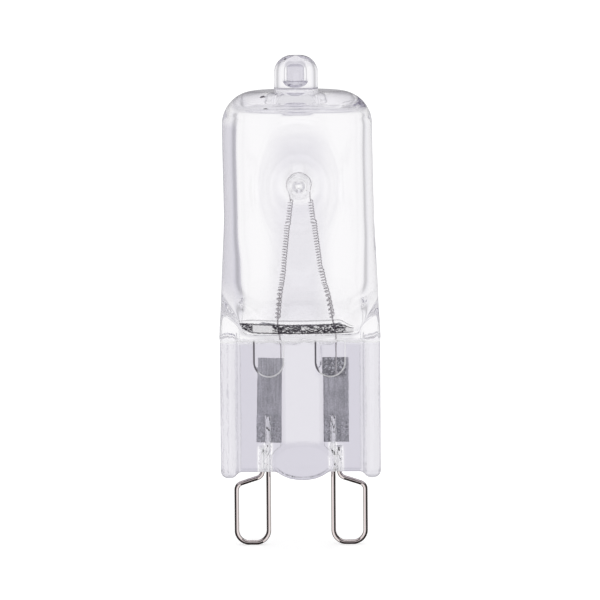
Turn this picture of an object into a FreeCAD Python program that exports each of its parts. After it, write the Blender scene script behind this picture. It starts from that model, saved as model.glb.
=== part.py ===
"""Clear halogen capsule bulb with a pinch base and two wire-loop pins, in millimetres.

The origin is midway between the pins on the seating plane, at the lower ends of the side ribs.
Z runs up the bulb, X from pin to pin and Y through the thickness of the pinch.
"""
import FreeCAD
import Part
import Sketcher
import math
import os

from FreeCAD import Placement, Rotation, Vector

# Driving dimensions
SIZES = {
    # glass tube and its domed end
    "bulb_radius": 6.95,
    "bulb_wall": 1.08,
    "cavity_shift": 0.2,
    "bulb_height": 23.15,
    "shoulder_radius": 3.1,
    "ceiling_thickness": 1.47,
    "cavity_corner_radius": 1.1,
    # exhaust tip melted shut on top of the dome, with the bubble that is left in it
    "tip_radius": 2.04,
    "tip_height": 3.3,
    "tip_round": 1.65,
    "tip_neck_radius": 0.4,
    "tip_bubble_radius": 0.83,
    "tip_bubble_length": 2.35,
    "tip_bubble_lift": 0.05,
    # flank where the round tube is pressed down to the flat pinch
    "pinch_height": 12.7,
    "press_height": 5.6,
    "flare_height": 5.7,
    "pinch_flare": 0.47,
    "flank_end_depth": 2.1,
    "floor_lift": 0.7,
    "floor_end_wall": 2.05,
    "floor_half_depth": 0.35,
    # pinch seal: web between two ribs, middle boss ending in a tongue, two bumps under the flank
    "web_half_depth": 1.4,
    "web_lift": 0.5,
    "rib_width": 1.6,
    "rib_half_depth": 2.3,
    "rib_overlap": 4.7,
    "boss_shift": 0.19,
    "boss_width": 3.5,
    "boss_half_depth": 1.6,
    "tongue_width": 5.58,
    "tongue_half_depth": 1.75,
    "tongue_round": 1.55,
    "tongue_top_z": 3.0,
    "tongue_drop": 0.25,
    "bump_spacing": 5.7,
    "bump_width": 2.72,
    "bump_length": 3.3,
    "bump_rise": 0.2,
    # dimples pressed in from front and back until they meet in a post
    "dimple_drop": 8.85,
    "dimple_floor": 0.7,
    "dimple_tip_radius": 0.58,
    "dimple_mouth_radius": 5.4,
    "dimple_wall": 0.5,
    "post_radius": 1.06,
    # contact loops, one bent wire each
    "pin_spacing": 9.0,
    "pin_wire_diameter": 0.43,
    "loop_width": 2.97,
    "loop_drop": 6.4,
    "loop_bend_radius": 1.15,
    "loop_shoulder_drop": 0.78,
    "loop_shoulder_radius": 0.65,
    "pin_end_x": 3.58,
    "pin_end_z": 2.8,
    "pin_weld_length": 2.4,
    # sealing foils
    "foil_width": 2.55,
    "foil_length": 7.9,
    "foil_thickness": 0.05,
    "foil_top_gap": 1.6,
    "foil_left_x": 2.85,
    "foil_right_x": 3.2,
    "foil_left_tilt": 1.45,
    "weld_depth": 0.03,
    # leads from the filament to the foils
    "lead_diameter": 0.16,
    "lead_overlap": 1.6,
    "lead_insert": 1.2,
    "lead_left_x": 1.72,
    "lead_right_x": 3.33,
    # hairpin filament
    "coil_diameter": 0.5,
    "coil_wire_diameter": 0.11,
    "coil_lift": 2.06,
    "coil_top_drop": 1.3,
    "coil_left_foot_x": 1.96,
    "coil_left_top_x": 0.8,
    "coil_right_foot_x": 2.88,
    "coil_right_top_x": 1.09,
    "coil_left_bow": 0.03,
    "coil_right_bow": 0.2,
    "hook_clearance": 0.03,
}

# Proportions that shape the glass but are no sizes of their own
ROUND_LIMIT = 0.9
ROUND_END = 0.97
RIB_ROUNDING = 0.44
RIB_TOP_INSET = 0.16
RIB_TOP_WIDTH = 0.6
RIB_TOP_DEPTH = 0.45
FOOT = 0.6
FOOT_INSET = 0.15
FOOT_ROUNDING = 0.5
TONGUE_ROUNDING = 0.48
BOSS_START = 1.0
BUBBLE_TOP_ROUNDING = 0.6
FLARE_STEPS = 5
FLARE_SPLIT = 0.6
PRESS_STEPS = 5
REACH = 1.0
HORN_STATIONS = (0.2, 0.45, 0.69, 0.85)
HORN_ROUNDING = 5.0
LIP_ROUNDING = 2.5
LIP_RISE = 0.6
LIP_RUN = 3.0
POST_SHARE = 0.15
LEAD_RUN = 0.35
RUN_SHARE = 0.45

doc = FreeCAD.newDocument("halogen_capsule_bulb")
sheet = doc.addObject("Spreadsheet::Sheet", "Sizes")
for row, (alias, number) in enumerate(SIZES.items(), 1):
    sheet.set(f"A{row}", alias)
    sheet.set(f"B{row}", str(number))
    sheet.setAlias(f"B{row}", alias)
doc.recompute()


class Size:
    """A length that carries both its number and the formula that ties it to the sheet."""

    def __init__(self, value, formula):
        self.value = value
        self.formula = formula

    def __add__(self, other):
        other = as_size(other)
        return Size(self.value + other.value, f"({self.formula} + {other.formula})")

    def __sub__(self, other):
        other = as_size(other)
        return Size(self.value - other.value, f"({self.formula} - {other.formula})")

    def __mul__(self, other):
        other = as_size(other)
        return Size(self.value * other.value, f"({self.formula} * {other.formula})")

    def __neg__(self):
        return Size(-self.value, f"(-{self.formula})")


def as_size(number):
    return number if isinstance(number, Size) else Size(float(number), f"{float(number):.6f}")


def smallest(first, second):
    """The smaller of two lengths, for a rounding that is limited by its wall."""
    return Size(min(first.value, second.value), f"min({first.formula}; {second.formula})")


def size(alias):
    return Size(float(sheet.get(alias)), f"Sizes.{alias}")


# Heights and radii that several pieces share
bulb_radius = size("bulb_radius")
cavity_radius = bulb_radius - size("bulb_wall")
pinch_half_width = bulb_radius + size("pinch_flare")
pinch_top = size("pinch_height")
press_top = pinch_top + size("press_height")
flare_top = press_top + size("flare_height")
floor_z = pinch_top + size("floor_lift")
dome_top = pinch_top + size("bulb_height")
dimple_z = dome_top - size("dimple_drop")
foil_top = pinch_top - size("foil_top_gap")
foil_bottom = foil_top - size("foil_length")
pin_radius = size("pin_wire_diameter") * 0.5
lead_radius = size("lead_diameter") * 0.5
coil_radius = size("coil_diameter") * 0.5
coil_wire_radius = size("coil_wire_diameter") * 0.5


def bind(target, prop, length):
    target.setExpression(prop, as_size(length).formula)


# Sketches
def sketch_on(body, name, role, offset=None):
    """A sketch on one of the body's own origin planes, moved along its normal by offset."""
    sketch = body.newObject("Sketcher::SketchObject", name)
    plane = next(item for item in body.Origin.OriginFeatures if item.Role == role)
    sketch.AttachmentSupport = [(plane, "")]
    sketch.MapMode = "FlatFace"
    if offset is not None:
        bind(sketch, "AttachmentOffset.Base.z", offset)
    return sketch


def constrain(sketch, kind, *where, length=None):
    """Add one constraint, tied to the sheet where it has a length."""
    if length is None:
        sketch.addConstraint(Sketcher.Constraint(kind, *where))
        return
    length = as_size(length)
    index = sketch.addConstraint(Sketcher.Constraint(kind, *where, length.value))
    if "Sizes." in length.formula:
        sketch.setExpression(f"Constraints[{index}]", length.formula)


def pin_point(sketch, geometry, end, x, y):
    constrain(sketch, "DistanceX", -1, 1, geometry, end, length=x)
    constrain(sketch, "DistanceY", -1, 1, geometry, end, length=y)


def draw(sketch, corners, closed=True):
    """Draw straight runs through corners (x, y) or (x, y, rounding) with tangent arcs at the rounded ones."""
    corners = [tuple(as_size(part) for part in corner) for corner in corners]
    points = [Vector(corner[0].value, corner[1].value, 0) for corner in corners]
    count = len(corners)
    arrive, leave, arcs = list(points), list(points), {}
    for index, corner in enumerate(corners):
        if len(corner) == 2:
            continue
        back = (points[index - 1] - points[index]).normalize()
        ahead = (points[(index + 1) % count] - points[index]).normalize()
        half = back.getAngle(ahead) / 2
        radius = corner[2].value
        arrive[index] = points[index] + back * (radius / math.tan(half))
        leave[index] = points[index] + ahead * (radius / math.tan(half))
        centre = points[index] + (back + ahead).normalize() * (radius / math.sin(half))
        arcs[index] = (centre, radius, back.cross(ahead).z < 0)
    runs = []
    for index in range(count if closed else count - 1):
        run = Part.LineSegment(leave[index], arrive[(index + 1) % count])
        runs.append(sketch.addGeometry(run, False))
    for index, corner in enumerate(corners):
        first, last = not closed and index == 0, not closed and index == count - 1
        if last:
            pin_point(sketch, runs[-1], 2, corner[0], corner[1])
        elif index not in arcs:
            if not first:
                constrain(sketch, "Coincident", runs[index - 1], 2, runs[index], 1)
            pin_point(sketch, runs[index], 1, corner[0], corner[1])
        else:
            ends = (arrive[index], leave[index])
            round_corner(sketch, runs[index - 1], runs[index], corner, arcs[index], ends)


def round_corner(sketch, before, after, corner, arc, ends):
    """Join two runs by a tangent arc and hold the corner point that their lines would meet in."""
    centre, radius, left_turn = arc
    first, second = ends if left_turn else reversed(ends)
    circle = Part.Circle(centre, Vector(0, 0, 1), radius)
    angles = [math.atan2(point.y - centre.y, point.x - centre.x) for point in (first, second)]
    bend = sketch.addGeometry(Part.ArcOfCircle(circle, *angles), False)
    near, far = (1, 2) if left_turn else (2, 1)
    constrain(sketch, "Tangent", before, 2, bend, near)
    constrain(sketch, "Tangent", bend, far, after, 1)
    constrain(sketch, "Radius", bend, length=corner[2])
    apex = sketch.addGeometry(Part.Point(Vector(corner[0].value, corner[1].value, 0)), True)
    constrain(sketch, "PointOnObject", apex, 1, before)
    constrain(sketch, "PointOnObject", apex, 1, after)
    pin_point(sketch, apex, 1, corner[0], corner[1])


def new_body(name):
    return doc.addObject("PartDesign::Body", name)


def turned(name, role, axis, corners):
    """A body turned from an outline about one of its sketch's axes."""
    body = new_body(name)
    sketch = sketch_on(body, f"{name}_outline", role)
    draw(sketch, corners)
    feature = body.newObject("PartDesign::Revolution", f"{name}_turn")
    feature.Profile = sketch
    feature.ReferenceAxis = (sketch, [axis])
    feature.Angle = 360
    return body


def symmetric_pad(body, name, corners, half_depth):
    """A pad of an outline in the XZ plane, as deep in front of that plane as behind it."""
    sketch = sketch_on(body, f"{name}_outline", "XZ_Plane")
    draw(sketch, corners)
    pad = body.newObject("PartDesign::Pad", name)
    pad.Profile = sketch
    pad.SideType = "Symmetric"
    bind(pad, "Length", half_depth * 2)


def oval(name, x, z, half_width, half_depth):
    section = doc.addObject("Part::Ellipse", name)
    bind(section, "MajorRadius", half_width)
    bind(section, "MinorRadius", half_depth)
    bind(section, "Placement.Base.x", x)
    bind(section, "Placement.Base.z", z)
    return section


def eased(step):
    """Share of the press that has taken place at this step down the flank, easing in and out."""
    share = step / PRESS_STEPS
    return share * share * (3 - 2 * share)


# Glass before it is hollowed
def bulb_blank():
    """Tube, shoulder, flat dome and the exhaust tip, turned about the bulb's axis."""
    tip_radius = size("tip_radius")
    tip_top = dome_top + size("tip_height")
    neck = size("tip_neck_radius")
    shoulder = smallest(size("shoulder_radius"), (bulb_radius - tip_radius - neck) * ROUND_LIMIT)
    return turned("bulb_blank", "XZ_Plane", "V_Axis", [
        (0, flare_top),
        (bulb_radius, flare_top),
        (bulb_radius, dome_top, shoulder),
        (tip_radius, dome_top, neck),
        (tip_radius, tip_top, smallest(size("tip_round"), tip_radius * ROUND_LIMIT)),
        (0, tip_top),
    ])


def flank_blank():
    """The tube widens a little while its front and back are pressed together."""
    flare, flare_height = size("pinch_flare"), size("flare_height")
    sections = []
    for step in range(FLARE_STEPS):
        share = step / FLARE_STEPS
        half_width = bulb_radius + flare * (FLARE_SPLIT * share)
        sections.append(oval(f"flare_{step}", 0, flare_top - flare_height * share, half_width, bulb_radius))
    for step in range(PRESS_STEPS + 1):
        share = step / PRESS_STEPS
        half_width = bulb_radius + flare * (FLARE_SPLIT + (1 - FLARE_SPLIT) * share)
        half_depth = bulb_radius + (size("flank_end_depth") - bulb_radius) * eased(step)
        z = press_top - size("press_height") * share
        sections.append(oval(f"flank_{step}", 0, z, half_width, half_depth))
    loft = doc.addObject("Part::Loft", "flank_blank")
    loft.Sections = sections
    loft.Solid = True
    return loft


def rib_top(body, side, inside, rounding):
    """Upper end of one rib, narrowing to its outer edge so that it fades into the flank."""
    name = "left" if side < 0 else "right"
    rib = size("rib_half_depth")
    foot = sketch_on(body, f"rib_top_start_{name}", "XY_Plane", pinch_top)
    bar = [(inside, -rib), (pinch_half_width, -rib), (pinch_half_width, rib), (inside, rib)]
    draw(foot, [(x * side, y * side, rounding) for x, y in bar])
    edge = pinch_half_width - size("rib_width") * RIB_TOP_INSET
    width, depth = size("rib_width") * RIB_TOP_WIDTH, size("rib_width") * RIB_TOP_DEPTH
    end = sketch_on(body, f"rib_top_end_{name}", "XY_Plane", pinch_top + size("rib_overlap"))
    corners = [(edge - width, -depth), (edge, -depth), (edge, depth), (edge - width, depth)]
    draw(end, [(x * side, y * side, width * RIB_ROUNDING) for x, y in corners])
    loft = body.newObject("PartDesign::AdditiveLoft", f"rib_top_{name}")
    loft.Profile = foot
    loft.Sections = [end]


def pinch_blank():
    """Web between two rounded ribs, with the middle boss, its rounded tongue and the two bumps."""
    body = new_body("pinch_blank")
    rib_inside = pinch_half_width - size("rib_width")
    rib, web = size("rib_half_depth"), size("web_half_depth")
    rounding = size("rib_width") * RIB_ROUNDING
    root = smallest(rounding, (rib - web) * RIB_ROUNDING)
    half = [(rib_inside, -web, root), (rib_inside, -rib, rounding), (pinch_half_width, -rib, rounding),
            (pinch_half_width, rib, rounding), (rib_inside, rib, rounding), (rib_inside, web, root)]
    other_half = [(-x, -y, r) for x, y, r in half]
    section = sketch_on(body, "pinch_section", "XY_Plane")
    draw(section, half + other_half)
    pad = body.newObject("PartDesign::Pad", "pinch_bar")
    pad.Profile = section
    bind(pad, "Length", pinch_top)
    for side in (-1, 1):
        rib_top(body, side, rib_inside, rounding)
    web_bottom = size("web_lift")
    half_feet = [(pinch_half_width + FOOT, -REACH), (pinch_half_width + FOOT, FOOT),
                 (pinch_half_width - FOOT_INSET, 0, rounding),
                 (rib_inside + FOOT_INSET, 0, rounding * FOOT_ROUNDING),
                 (rib_inside - FOOT_INSET, web_bottom)]
    relief = sketch_on(body, "web_relief_outline", "XZ_Plane")
    draw(relief, half_feet + [(-corner[0], *corner[1:]) for corner in reversed(half_feet)])
    pocket = body.newObject("PartDesign::Pocket", "web_relief")
    pocket.Profile = relief
    pocket.SideType = "Symmetric"
    bind(pocket, "Length", (rib + REACH) * 2)
    shift = size("boss_shift")
    boss, tongue = size("boss_width") * 0.5, size("tongue_width") * 0.5
    symmetric_pad(body, "boss", [
        (shift - boss, BOSS_START), (shift + boss, BOSS_START),
        (shift + boss, pinch_top), (shift - boss, pinch_top),
    ], size("boss_half_depth"))
    tongue_top, tongue_bottom = size("tongue_top_z"), -size("tongue_drop")
    round_end = smallest(size("tongue_round"), (tongue_top - tongue_bottom) * TONGUE_ROUNDING)
    symmetric_pad(body, "tongue", [
        (shift - tongue, tongue_bottom, round_end), (shift + tongue, tongue_bottom, round_end),
        (shift + tongue, tongue_top, round_end), (shift - tongue, tongue_top, round_end),
    ], size("tongue_half_depth"))
    for side in (-1, 1):
        bump(body, side)
    return body


def bump(body, side):
    """Low thumb-shaped pad under the flank, on the front and the back of the web."""
    middle = size("bump_spacing") * (0.5 * side)
    half_width = size("bump_width") * 0.5
    low = pinch_top - size("bump_length")
    round_end = half_width * ROUND_END
    symmetric_pad(body, "bump_left" if side < 0 else "bump_right", [
        (middle - half_width, pinch_top), (middle - half_width, low, round_end),
        (middle + half_width, low, round_end), (middle + half_width, pinch_top),
    ], size("web_half_depth") + size("bump_rise"))


# Hollows of the glass
def cavity_upper():
    corner = smallest(size("cavity_corner_radius"), cavity_radius * ROUND_LIMIT)
    ceiling = dome_top - size("ceiling_thickness")
    body = turned("cavity_upper", "XZ_Plane", "V_Axis", [
        (0, press_top), (cavity_radius, press_top), (cavity_radius, ceiling, corner), (0, ceiling),
    ])
    bind(body, "Placement.Base.x", size("cavity_shift"))
    return body


def cavity_lower():
    """The cavity narrows to a flat slot between the pressed walls."""
    floor_half_width = pinch_half_width - size("floor_end_wall")
    sections = []
    for step in range(PRESS_STEPS + 1):
        share = eased(step)
        sections.append(oval(
            f"cavity_{step}",
            size("cavity_shift"),
            press_top - (press_top - floor_z) * (step / PRESS_STEPS),
            cavity_radius + (floor_half_width - cavity_radius) * share,
            cavity_radius + (size("floor_half_depth") - cavity_radius) * share,
        ))
    loft = doc.addObject("Part::Loft", "cavity_lower")
    loft.Sections = sections
    loft.Solid = True
    return loft


def horn(share):
    """Depth and radius of a dimple's air side, a share of the way from its end to the tube's surface."""
    floor, tip, mouth = size("dimple_floor"), size("dimple_tip_radius"), size("dimple_mouth_radius")
    growth = Size((mouth.value / tip.value) ** share, f"(({mouth.formula} / {tip.formula}) ^ {share})")
    return floor + (bulb_radius - floor) * share, tip * growth


def horn_outside(share):
    """The same on the glass side, one wall further out, square to the horn."""
    depth, radius = horn(share)
    length = bulb_radius - size("dimple_floor")
    steepness = math.log(size("dimple_mouth_radius").value / size("dimple_tip_radius").value)
    slant = math.hypot(1, radius.value * steepness / length.value)
    return depth, radius + size("dimple_wall") * slant


def dimple_hollow():
    """Air side of the front dimple: a horn with a round end and a flared lip."""
    floor, tip, mouth = size("dimple_floor"), size("dimple_tip_radius"), size("dimple_mouth_radius")
    outside = -(bulb_radius + LIP_RISE)
    corners = [(-floor, 0), (-floor, tip, smallest(tip, floor) * ROUND_LIMIT)]
    for share in HORN_STATIONS:
        depth, radius = horn(share)
        corners.append((-depth, radius, HORN_ROUNDING))
    corners += [(-bulb_radius, mouth, LIP_ROUNDING), (outside, mouth + LIP_RUN), (outside, 0)]
    body = turned("dimple_front", "YZ_Plane", "H_Axis", corners)
    bind(body, "Placement.Base.z", dimple_z)
    return body


def dimple_glass():
    """Spool of glass that the two dimples push into the cavity, narrowest at the post between them."""
    waist = size("post_radius")
    post_end = cavity_radius * POST_SHARE
    depth, radius = horn_outside(1.0)
    half = [(depth, 0), (depth, radius)]
    for share in reversed(HORN_STATIONS):
        depth, radius = horn_outside(share)
        half.append((depth, radius, HORN_ROUNDING))
    half.append((post_end, waist))
    body = turned("dimple_glass", "YZ_Plane", "H_Axis",
                  [(-corner[0], *corner[1:]) for corner in half] + half[::-1])
    bind(body, "Placement.Base.z", dimple_z)
    return body


def tip_bubble():
    """Bubble left in the exhaust tip, round below and flatter on top."""
    radius = size("tip_bubble_radius")
    low = dome_top + size("tip_bubble_lift")
    high = low + size("tip_bubble_length")
    return turned("tip_bubble", "XZ_Plane", "V_Axis", [
        (0, low), (radius, low, radius * ROUND_END), (radius, high, radius * BUBBLE_TOP_ROUNDING), (0, high),
    ])


# Wires
def rounded_wire(points):
    """Straight runs through points joined by tangent arcs as large as the runs allow."""
    edges = []
    here = points[0]
    for before, corner, after in zip(points, points[1:], points[2:]):
        back, ahead = before - corner, after - corner
        reach = RUN_SHARE * min(back.Length, ahead.Length)
        start = corner + back.normalize() * reach
        end = corner + ahead.normalize() * reach
        half = back.getAngle(ahead) / 2
        radius = reach * math.tan(half)
        middle = corner + (back + ahead).normalize() * (radius / math.sin(half) - radius)
        edges += [Part.LineSegment(here, start).toShape(), Part.Arc(start, middle, end).toShape()]
        here = end
    edges.append(Part.LineSegment(here, points[-1]).toShape())
    return Part.Wire(edges)


def swept(path, radius):
    """A round rod along a wire."""
    start = path.Edges[0].valueAt(path.Edges[0].FirstParameter)
    along = path.Edges[0].tangentAt(path.Edges[0].FirstParameter)
    section = Part.Wire(Part.makeCircle(radius, start, along))
    return path.makePipeShell([section], True, False)


def shaped(name, shape):
    feature = doc.addObject("Part::Feature", name)
    feature.Shape = shape
    return feature


def at(x, z, y=0.0):
    return Vector(x, y, z)


foil_half = size("foil_thickness").value / 2
pin_plane = size("foil_thickness") * 0.5 + pin_radius - size("weld_depth")
lead_plane = foil_half + lead_radius.value - size("weld_depth").value
coil_top_z = (dimple_z - size("coil_top_drop")).value
coil_foot_z = (floor_z + size("coil_lift")).value


def coil_leg(side):
    """Foot, middle and top of one coiled leg; the bow moves the middle towards the other leg."""
    sign = -1 if side == "left" else 1
    foot = at(sign * size(f"coil_{side}_foot_x").value, coil_foot_z)
    top = at(sign * size(f"coil_{side}_top_x").value, coil_top_z)
    middle = (foot + top) * 0.5 - Vector(sign * size(f"coil_{side}_bow").value, 0, 0)
    return [foot, middle, top]


def tangent_point(centre, radius, outside, sign):
    """Where a line from an outside point touches a circle in the XZ plane, on the side given by sign."""
    offset = outside - centre
    turn = math.acos(radius / offset.Length)
    angle = math.atan2(offset.z, offset.x) + sign * turn
    return centre + Vector(math.cos(angle), 0, math.sin(angle)) * radius


def hook_wire():
    """Plain stretch of the filament wire, from one coil over the top of the post to the other coil."""
    centre = at(0, dimple_z.value)
    radius = (size("post_radius") + coil_wire_radius + size("hook_clearance")).value
    left_top, right_top = coil_leg("left")[-1], coil_leg("right")[-1]
    left = tangent_point(centre, radius, left_top, -1)
    right = tangent_point(centre, radius, right_top, 1)
    crown = centre + Vector(0, 0, radius)
    inside = 0.5 * coil_radius.value
    left_start = left_top + (left_top - left).normalize() * inside
    right_end = right_top + (right_top - right).normalize() * inside
    return Part.Wire([
        Part.LineSegment(left_start, left).toShape(),
        Part.Arc(left, crown, right).toShape(),
        Part.LineSegment(right, right_end).toShape(),
    ])


def coil_bore(side):
    """Hollow of one coil, stopping short of its top end, where the plain wire leaves it."""
    foot, middle, top = coil_leg(side)
    top = top + (middle - top).normalize() * coil_radius.value * 2
    return swept(rounded_wire([foot, middle, top]), lead_radius.value)


def filament_rods():
    legs = [swept(rounded_wire(coil_leg(side)), coil_radius.value) for side in ("left", "right")]
    return legs[0].multiFuse([legs[1], swept(hook_wire(), coil_wire_radius.value)])


def lead_wire(side):
    """One lead: up inside its coil, and down through the floor of the cavity along its foil."""
    sign = -1 if side == "left" else 1
    foot, middle, _ = coil_leg(side)
    along = (middle - foot).normalize()
    y = lead_plane if side == "left" else -lead_plane
    x = sign * size(f"lead_{side}_x").value
    top = foot + along * size("lead_insert").value
    below = foot - along * (LEAD_RUN * size("coil_lift").value)
    sealed = at(x, pinch_top.value, y)
    end = at(x, (foil_top - size("lead_overlap")).value, y)
    return swept(rounded_wire([top, below, sealed, end]), lead_radius.value)


def foil(side):
    sign = -1 if side == "left" else 1
    sheet_metal = doc.addObject("Part::Box", f"foil_{side}")
    bind(sheet_metal, "Length", size("foil_width"))
    bind(sheet_metal, "Width", size("foil_thickness"))
    bind(sheet_metal, "Height", size("foil_length"))
    bind(sheet_metal, "Placement.Base.x", size(f"foil_{side}_x") * sign - size("foil_width") * 0.5)
    bind(sheet_metal, "Placement.Base.y", size("foil_thickness") * -0.5)
    bind(sheet_metal, "Placement.Base.z", foil_bottom)
    return sheet_metal


def pin_loop_wire(side):
    """Contact loop: welded leg, round bottom, outer leg, shoulder and the short end sealed in the glass."""
    sign = -1 if side == "left" else 1
    body = new_body(f"pin_wire_{side}")
    middle = size("pin_spacing") * 0.5
    inner = (middle - size("loop_width") * 0.5) * sign
    outer = (middle + size("loop_width") * 0.5) * sign
    end = size("pin_end_x") * sign
    bottom = pin_radius - size("loop_drop")
    weld_top = foil_bottom + size("pin_weld_length")
    bend = smallest(size("loop_bend_radius"), size("loop_width") * RUN_SHARE)
    shoulder = size("loop_shoulder_radius")
    path = sketch_on(body, f"pin_path_{side}", "XZ_Plane", pin_plane)
    draw(path, [
        (inner, weld_top), (inner, bottom, bend), (outer, bottom, bend),
        (outer, -size("loop_shoulder_drop"), shoulder), (end, 0, shoulder), (end, size("pin_end_z")),
    ], closed=False)
    section = sketch_on(body, f"pin_section_{side}", "XY_Plane", weld_top)
    circle = Part.Circle(Vector(inner.value, -pin_plane.value, 0), Vector(0, 0, 1), pin_radius.value)
    index = section.addGeometry(circle, False)
    constrain(section, "Radius", index, length=pin_radius)
    pin_point(section, index, 3, inner, -pin_plane)
    doc.recompute()
    pipe = body.newObject("PartDesign::AdditivePipe", f"pin_pipe_{side}")
    pipe.Profile = section
    pipe.Spine = (path, [f"Edge{number + 1}" for number in range(len(path.Shape.Edges))])
    return body


def cut(name, base, tool):
    feature = doc.addObject("Part::Cut", name)
    feature.Base = base
    feature.Tool = tool
    return feature


def fuse(name, pieces):
    feature = doc.addObject("Part::MultiFuse", name)
    feature.Shapes = pieces
    return feature


# Assembly
sub_parts = {}
tools = []
for hand in ("left", "right"):
    sub_parts[f"foil_{hand}"] = foil(hand)
    loop = pin_loop_wire(hand)
    sub_parts[f"pin_loop_{hand}"] = cut(f"pin_loop_{hand}", loop, sub_parts[f"foil_{hand}"])
    lead = shaped(f"lead_rod_{hand}", lead_wire(hand))
    sub_parts[f"inner_lead_{hand}"] = cut(f"inner_lead_{hand}", lead, sub_parts[f"foil_{hand}"])
    tools += [sub_parts[f"foil_{hand}"], loop, lead]
tilt = sub_parts["foil_left"]
bind(tilt, "Placement.Rotation.Angle", size("foil_left_tilt"))
tilt.Placement = Placement(tilt.Placement.Base, Rotation(Vector(0, 1, 0), size("foil_left_tilt").value))

coil_rods = shaped("coil_rods", filament_rods())
bores = fuse("coil_bores", [shaped(f"coil_bore_{hand}", coil_bore(hand)) for hand in ("left", "right")])
sub_parts["filament"] = cut("filament", coil_rods, bores)

front = dimple_hollow()
back = doc.addObject("Part::Mirroring", "dimple_back")
back.Source = front
back.Normal = Vector(0, 1, 0)
cavity = cut("cavity", fuse("cavity_whole", [cavity_upper(), cavity_lower()]), dimple_glass())
blank = fuse("glass_blank", [bulb_blank(), flank_blank(), pinch_blank()])
hollows = fuse("glass_hollows", [cavity, tip_bubble(), coil_rods] + tools)
hollowed = cut("glass_hollowed", blank, hollows)
sub_parts["glass_envelope"] = cut("glass_envelope", hollowed, fuse("dimples", [front, back]))

doc.recompute()

# Every object has to have come out before anything is written
for item in doc.Objects:
    if "Invalid" in item.State or "Error" in item.State:
        raise RuntimeError(f"{item.Name} failed: {item.State}")
os.makedirs("parts", exist_ok=True)
for node, item in sub_parts.items():
    item.Label = node
    if item.Shape.isNull() or not item.Shape.isValid():
        raise RuntimeError(f"{node} has no valid shape")
for node, item in sub_parts.items():
    item.Shape.exportStep(f"parts/{node}.step")
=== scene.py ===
"""Looks of the halogen capsule bulb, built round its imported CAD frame. Metres, Z up, front at -Y."""
import math

import bpy
import numpy as np
import openvdb
from mathutils import Matrix, Vector


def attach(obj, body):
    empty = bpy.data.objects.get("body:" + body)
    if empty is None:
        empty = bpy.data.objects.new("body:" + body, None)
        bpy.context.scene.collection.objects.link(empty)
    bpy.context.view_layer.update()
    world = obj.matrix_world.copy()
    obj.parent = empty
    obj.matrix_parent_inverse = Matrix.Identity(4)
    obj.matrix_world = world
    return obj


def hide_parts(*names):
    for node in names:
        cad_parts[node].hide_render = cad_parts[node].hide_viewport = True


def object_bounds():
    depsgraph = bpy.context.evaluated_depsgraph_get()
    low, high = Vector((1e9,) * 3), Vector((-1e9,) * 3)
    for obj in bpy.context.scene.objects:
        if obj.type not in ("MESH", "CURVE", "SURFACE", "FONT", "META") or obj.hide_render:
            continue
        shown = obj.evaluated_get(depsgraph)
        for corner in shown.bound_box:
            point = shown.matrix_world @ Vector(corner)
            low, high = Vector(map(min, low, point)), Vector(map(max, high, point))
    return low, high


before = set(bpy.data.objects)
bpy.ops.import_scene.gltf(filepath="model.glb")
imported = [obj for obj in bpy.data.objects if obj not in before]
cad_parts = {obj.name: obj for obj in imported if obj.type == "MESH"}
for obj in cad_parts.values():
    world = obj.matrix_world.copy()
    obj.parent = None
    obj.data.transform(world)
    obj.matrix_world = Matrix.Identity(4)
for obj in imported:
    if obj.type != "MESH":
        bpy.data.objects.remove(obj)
cad_box = [list(corner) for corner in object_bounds()]

MM = 0.001

# Camera: where the photograph's frame lies on the bulb
VIEW_WIDTH = 55.66 * MM
VIEW_CENTRE = Vector((0.03, 0.0, 16.4)) * MM
VIEW_DISTANCE = 600 * MM
VIEW_ELEVATION = math.radians(5)
VIEW_ROLL = math.radians(-0.4)
SENSOR_WIDTH = 36.0
CLIP_START = 0.01
BOUNCES = 96

# Sizes below are in millimetres, and those of the glass and wires follow the CAD model

# Tube, dome and the wavy ledge above the pinch: height, pace and start of each wave
BULB_RADIUS = 6.95
DOME_TOP = 35.85
SHOULDER_RADIUS = 3.1
FLARE_TOP, PRESS_TOP, PINCH_TOP = 24.0, 18.3, 12.7
FLARE, FLARE_SPLIT = 0.47, 0.6
FLANK_END_DEPTH = 2.1
LEDGE_ROUND = 0.3
LEDGE_WAVES = ((0.07, 1.7, 0.5), (0.04, 4.1, 0.0))
LEAN, LEAN_LOW, LEAN_HIGH = -0.14, 22.0, 33.0

# Exhaust tip and the bubble in it
TIP_X, TIP_RADIUS, TIP_TOP, TIP_ROUND, TIP_NECK = -0.06, 2.04, 39.15, 1.65, 0.2
BUBBLE_X, BUBBLE_RADIUS, BUBBLE_LOW, BUBBLE_HIGH = -0.1, 0.83, 36.1, 38.25
BUBBLE_LOW_ROUND, BUBBLE_HIGH_ROUND = 0.97 * BUBBLE_RADIUS, 0.55

# Cavity
CAVITY_RADIUS, CAVITY_SHIFT, CEILING, CAVITY_CORNER = 5.87, 0.2, 34.38, 1.1
FLOOR_Z, FLOOR_HALF_WIDTH, FLOOR_HALF_DEPTH, FLOOR_ROUND = 13.4, 5.37, 0.35, 0.3

# Dimples pressed in from front and back, and the post where they meet
DIMPLE_Z, DIMPLE_FLOOR, DIMPLE_TIP, DIMPLE_HORN = 27.0, 0.7, 0.58, 2.8
DIMPLE_WALL, DIMPLE_ROUND = 0.5, 0.55
POST_RADIUS, POST_HALF_LENGTH = 1.06, 1.2

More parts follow.
